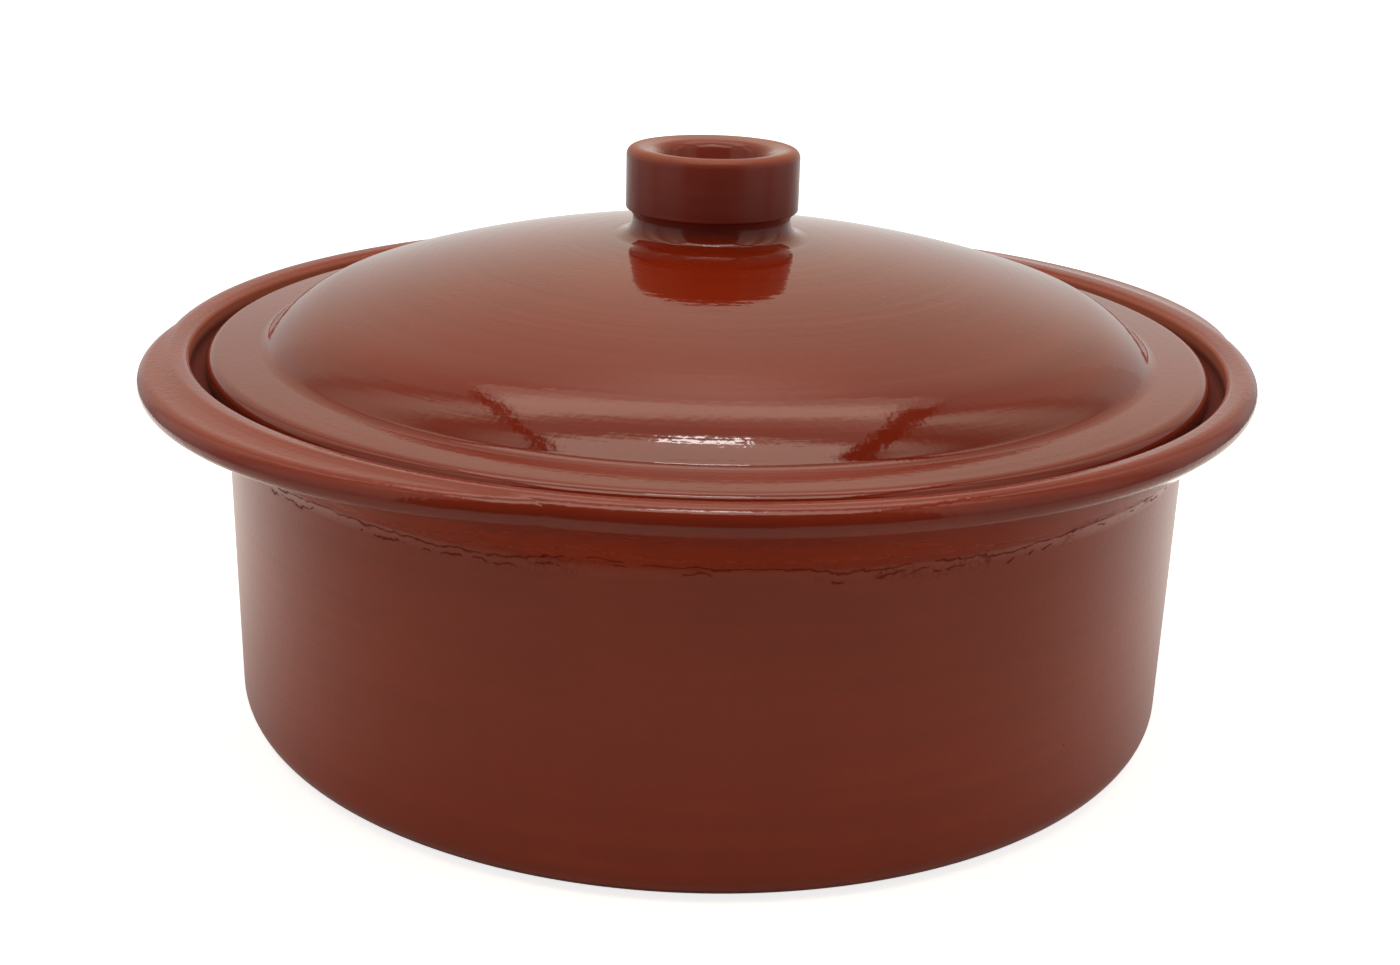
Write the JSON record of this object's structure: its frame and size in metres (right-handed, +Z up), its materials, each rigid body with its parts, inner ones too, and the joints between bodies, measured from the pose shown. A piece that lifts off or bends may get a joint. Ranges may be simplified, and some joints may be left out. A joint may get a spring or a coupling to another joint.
{
  "type": "clay braising pot",
  "caption": "Round terracotta braising pot with a straight wall, a rolled rim with crescent lugs, and a loose domed lid with a drum knob.",
  "frame": {"origin": "middle of the flat base, at the height of the surface the pot stands on", "axes": "+Z up along the axis of the pot and lid; the lugs point along +X (right_lug) and -X (left_lug)"},
  "size_m": [0.2906, 0.2766, 0.1433],
  "materials": {
    "pot_clay": "satin, with a clear glaze on the rim and inside",
    "lid_glaze": "clear gloss glaze over red clay"
  },
  "bodies": {
    "pot": {"pot_body": "pot_clay", "left_lug": "pot_clay", "right_lug": "pot_clay"},
    "lid": {"lid": "lid_glaze", "lid_knob": "lid_glaze"}
  },
  "joints": [
    {"name": "lid_lift", "type": "slide", "parent": "pot", "child": "lid", "axis": [0, 0, 1], "range_m": [0, 0.08]}
  ]
}
